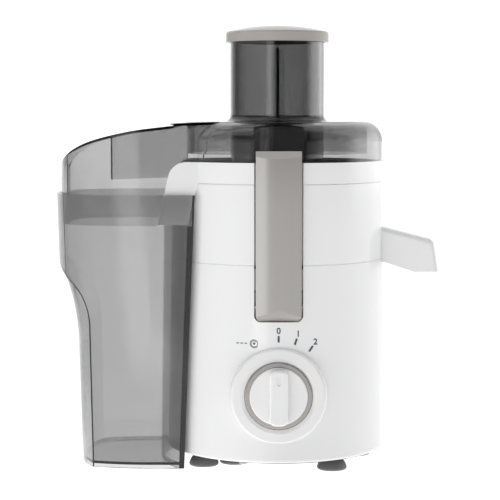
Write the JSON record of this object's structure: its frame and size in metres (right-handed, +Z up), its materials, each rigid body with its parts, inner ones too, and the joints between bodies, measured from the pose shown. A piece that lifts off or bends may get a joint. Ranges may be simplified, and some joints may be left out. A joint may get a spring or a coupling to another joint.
{
  "type": "centrifugal juicer",
  "caption": "Upright centrifugal juicer: white drum body with speed dial and spout, smoked feed tube, pulp duct and side container, grey clamps and pusher cap.",
  "frame": {"origin": "middle of the footprint, on the ground under the feet", "axes": "+Z up, -Y towards the user and the control knob, +X towards the juice spout, -X towards the pulp container; the motor's axis is upright at X 24 mm, Y 5.5 mm"},
  "size_m": [0.308, 0.19, 0.3509],
  "materials": {
    "housing_white": "gloss",
    "trim_grey": "satin",
    "smoked_clear": "clear gloss",
    "base_plastic": "matte",
    "filter_plastic": "satin",
    "foot_rubber": "matte",
    "stainless": "brushed",
    "shaft_steel": "ground",
    "lamination_steel": "matte",
    "copper_winding": "lacquered",
    "bronze": "satin",
    "carbon": "matte"
  },
  "bodies": {
    "pusher": {"pusher_body": "smoked_clear", "pusher_cap": "trim_grey"},
    "container": {"pulp_container": "smoked_clear"},
    "front_clamp": {"clamp_front": "trim_grey"},
    "rear_clamp": {"clamp_rear": "trim_grey"},
    "knob": {"control_knob": "housing_white", "knob_ring": "trim_grey", "knob_spindle": "base_plastic"},
    "interlock": {"interlock_rod": "base_plastic"},
    "rotor": {"motor_shaft": "shaft_steel", "cooling_fan": "base_plastic", "commutator": "copper_winding", "armature_core": "lamination_steel", "armature_windings": "copper_winding", "drive_coupling": "base_plastic", "filter_hub": "filter_plastic", "grating_disc": "stainless", "filter_mesh": "stainless", "filter_rim": "filter_plastic"},
    "base": {"motor_housing": "housing_white", "juice_collector": "housing_white", "gutter_ring": "housing_white", "lid": "smoked_clear", "base_cover": "base_plastic", "rotary_switch": "base_plastic", "safety_switch": "base_plastic", "suppressor_capacitor": "base_plastic", "feet": "foot_rubber", "motor_dampers": "foot_rubber", "shaft_seal": "foot_rubber", "cord_gland": "foot_rubber", "clamp_pins": "shaft_steel", "base_screws": "shaft_steel", "motor_screws": "shaft_steel", "upper_bracket": "shaft_steel", "lower_bracket": "shaft_steel", "stator_core": "lamination_steel", "field_coils": "copper_winding", "upper_bearing": "bronze", "lower_bearing": "bronze", "brush_holders": "bronze", "carbon_brushes": "carbon"}
  },
  "joints": [
    {"name": "rotor_spin", "type": "hinge", "parent": "base", "child": "rotor", "pos_m": [0.024, 0.0055, 0.1029], "axis": [0, 0, 1], "continuous": true},
    {"name": "pusher_slide", "type": "slide", "parent": "base", "child": "pusher", "axis": [0, 0, 1], "range_m": [0, 0.11]},
    {"name": "knob_turn", "type": "hinge", "parent": "base", "child": "knob", "pos_m": [0.024, -0.0845, 0.0649], "axis": [0, 1, 0], "range_deg": [-25, 34]},
    {"name": "front_clamp_hinge", "type": "hinge", "parent": "base", "child": "front_clamp", "pos_m": [0.024, -0.075, 0.1329], "axis": [1, 0, 0], "range_deg": [0, 50]},
    {"name": "rear_clamp_hinge", "type": "hinge", "parent": "base", "child": "rear_clamp", "pos_m": [0.024, 0.086, 0.1329], "axis": [-1, 0, 0], "range_deg": [0, 50]},
    {"name": "container_tilt", "type": "hinge", "parent": "base", "child": "container", "pos_m": [-0.048, 0.0055, 0.2139], "axis": [0, 1, 0], "range_deg": [0, 4]},
    {"name": "interlock_slide", "type": "slide", "parent": "base", "child": "interlock", "axis": [0, -1, 0], "range_m": [0, 0.0022]}
  ],
  "couplings": [
    {"joint": "interlock_slide", "follows": "front_clamp_hinge", "m_per_rad": 0.0024}
  ]
}
